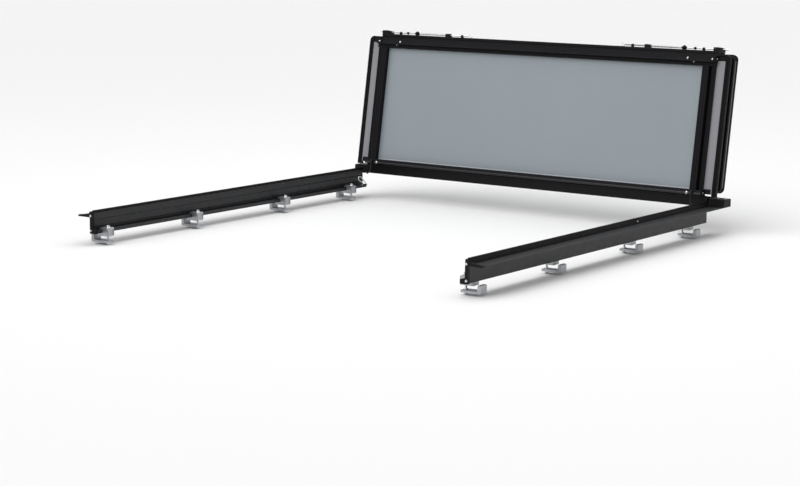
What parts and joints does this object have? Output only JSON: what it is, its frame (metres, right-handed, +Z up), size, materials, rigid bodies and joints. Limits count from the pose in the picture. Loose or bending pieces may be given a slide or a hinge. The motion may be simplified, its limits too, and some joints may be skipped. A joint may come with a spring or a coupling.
{
  "type": "tonneau cover",
  "caption": "Hard folding pickup bed cover, its panels folded together and stood upright at the cab end, with bed-side rails, sliding clamps, a wide hinge and latch rods.",
  "frame": {"origin": "middle of the header rail's seat face, which lies on the bed's front wall", "axes": "+X to the passenger side, +Y to the cab, +Z up out of the bed"},
  "size_m": [1.742, 1.8237, 0.6993],
  "materials": {
    "rail_black": "satin black powder coat",
    "frame_black": "satin black powder coat on extruded aluminium",
    "panel_grey": "satin cool grey skin, the underside of the panel",
    "panel_black": "fine textured black skin",
    "seal_rubber": "matt extruded rubber",
    "moulded_black": "fine grained moulded plastic",
    "clamp_cast": "cast aluminium, lightly blasted",
    "zinc_steel": "bright zinc plate"
  },
  "bodies": {
    "rails": {"side_rail_left": "rail_black", "rail_seal_left": "seal_rubber", "rail_end_cap_left": "moulded_black", "corner_bracket_left": "moulded_black", "side_rail_right": "rail_black", "rail_seal_right": "seal_rubber", "rail_end_cap_right": "moulded_black", "corner_bracket_right": "moulded_black", "header_rail": "rail_black", "clamp_body_left_1": "clamp_cast", "clamp_body_left_2": "clamp_cast", "clamp_body_left_3": "clamp_cast", "clamp_body_left_4": "clamp_cast", "clamp_body_right_1": "clamp_cast", "clamp_body_right_2": "clamp_cast", "clamp_body_right_3": "clamp_cast", "clamp_body_right_4": "clamp_cast"},
    "front_panel": {"front_panel_skin": "panel_grey", "front_panel_header_bar": "frame_black", "front_panel_hinge_bar": "frame_black", "front_panel_side_bar_left": "frame_black", "front_panel_side_bar_right": "frame_black", "front_panel_trim_left": "seal_rubber", "front_panel_trim_right": "seal_rubber"},
    "wide_hinge": {"wide_hinge_spacer": "frame_black", "spacer_end_cap_left": "moulded_black", "latch_guide_left": "moulded_black", "spacer_end_cap_right": "moulded_black", "latch_guide_right": "moulded_black"},
    "folded_pair": {"middle_panel_skin": "panel_black", "middle_panel_hinge_bar": "frame_black", "middle_panel_fold_bar": "frame_black", "middle_panel_side_bar_left": "frame_black", "middle_panel_side_bar_right": "frame_black", "rear_panel_skin": "panel_grey", "rear_panel_fold_bar": "frame_black", "tail_bar": "frame_black", "rear_panel_side_bar_left": "frame_black", "rear_panel_side_bar_right": "frame_black", "fold_hinge_pin": "zinc_steel"},
    "stay_hook_left": {"stay_hook_left": "frame_black"},
    "latch_rod_left": {"latch_rod_left": "zinc_steel"},
    "clamp_jaw_left_1": {"clamp_jaw_left_1": "clamp_cast", "clamp_bolt_left_1": "zinc_steel"},
    "clamp_jaw_left_2": {"clamp_jaw_left_2": "clamp_cast", "clamp_bolt_left_2": "zinc_steel"},
    "clamp_jaw_left_3": {"clamp_jaw_left_3": "clamp_cast", "clamp_bolt_left_3": "zinc_steel"},
    "clamp_jaw_left_4": {"clamp_jaw_left_4": "clamp_cast", "clamp_bolt_left_4": "zinc_steel"},
    "stay_hook_right": {"stay_hook_right": "frame_black"},
    "latch_rod_right": {"latch_rod_right": "zinc_steel"},
    "clamp_jaw_right_1": {"clamp_jaw_right_1": "clamp_cast", "clamp_bolt_right_1": "zinc_steel"},
    "clamp_jaw_right_2": {"clamp_jaw_right_2": "clamp_cast", "clamp_bolt_right_2": "zinc_steel"},
    "clamp_jaw_right_3": {"clamp_jaw_right_3": "clamp_cast", "clamp_bolt_right_3": "zinc_steel"},
    "clamp_jaw_right_4": {"clamp_jaw_right_4": "clamp_cast", "clamp_bolt_right_4": "zinc_steel"}
  },
  "joints": [
    {"name": "stack_lift", "type": "hinge", "parent": "rails", "child": "front_panel", "pos_m": [0, -0.03, 0.037], "axis": [1, 0, 0], "range_deg": [0, 99.4]},
    {"name": "wide_hinge_front", "type": "hinge", "parent": "front_panel", "child": "wide_hinge", "pos_m": [0, 0.05787, 0.56778], "axis": [1, 0, 0], "range_deg": [0, 90]},
    {"name": "wide_hinge_rear", "type": "hinge", "parent": "wide_hinge", "child": "folded_pair", "pos_m": [0, 0.09733, 0.56124], "axis": [1, 0, 0], "range_deg": [0, 90]},
    {"name": "stay_hook_left_swing", "type": "hinge", "parent": "front_panel", "child": "stay_hook_left", "pos_m": [-0.7515, -0.06747, 0.05739], "axis": [0, -0.9866, 0.1633], "range_deg": [0, 90]},
    {"name": "stay_hook_right_swing", "type": "hinge", "parent": "front_panel", "child": "stay_hook_right", "pos_m": [0.7515, -0.06747, 0.05739], "axis": [0, 0.9866, -0.1633], "range_deg": [0, 90]},
    {"name": "latch_rod_left_pull", "type": "slide", "parent": "wide_hinge", "child": "latch_rod_left", "axis": [1, 0, 0], "range_m": [0, 0.022], "stiffness_N_per_m": 400, "springref_m": -0.012},
    {"name": "latch_rod_right_pull", "type": "slide", "parent": "wide_hinge", "child": "latch_rod_right", "axis": [-1, 0, 0], "range_m": [0, 0.022], "stiffness_N_per_m": 400, "springref_m": -0.012},
    {"name": "clamp_left_1_grip", "type": "slide", "parent": "rails", "child": "clamp_jaw_left_1", "axis": [0, 0, 1], "range_m": [-0.015, 0.012]},
    {"name": "clamp_left_2_grip", "type": "slide", "parent": "rails", "child": "clamp_jaw_left_2", "axis": [0, 0, 1], "range_m": [-0.015, 0.012]},
    {"name": "clamp_left_3_grip", "type": "slide", "parent": "rails", "child": "clamp_jaw_left_3", "axis": [0, 0, 1], "range_m": [-0.015, 0.012]},
    {"name": "clamp_left_4_grip", "type": "slide", "parent": "rails", "child": "clamp_jaw_left_4", "axis": [0, 0, 1], "range_m": [-0.015, 0.012]},
    {"name": "clamp_right_1_grip", "type": "slide", "parent": "rails", "child": "clamp_jaw_right_1", "axis": [0, 0, 1], "range_m": [-0.015, 0.012]},
    {"name": "clamp_right_2_grip", "type": "slide", "parent": "rails", "child": "clamp_jaw_right_2", "axis": [0, 0, 1], "range_m": [-0.015, 0.012]},
    {"name": "clamp_right_3_grip", "type": "slide", "parent": "rails", "child": "clamp_jaw_right_3", "axis": [0, 0, 1], "range_m": [-0.015, 0.012]},
    {"name": "clamp_right_4_grip", "type": "slide", "parent": "rails", "child": "clamp_jaw_right_4", "axis": [0, 0, 1], "range_m": [-0.015, 0.012]}
  ],
  "couplings": [
    {"joint": "wide_hinge_rear", "follows": "wide_hinge_front", "ratio": 1}
  ]
}
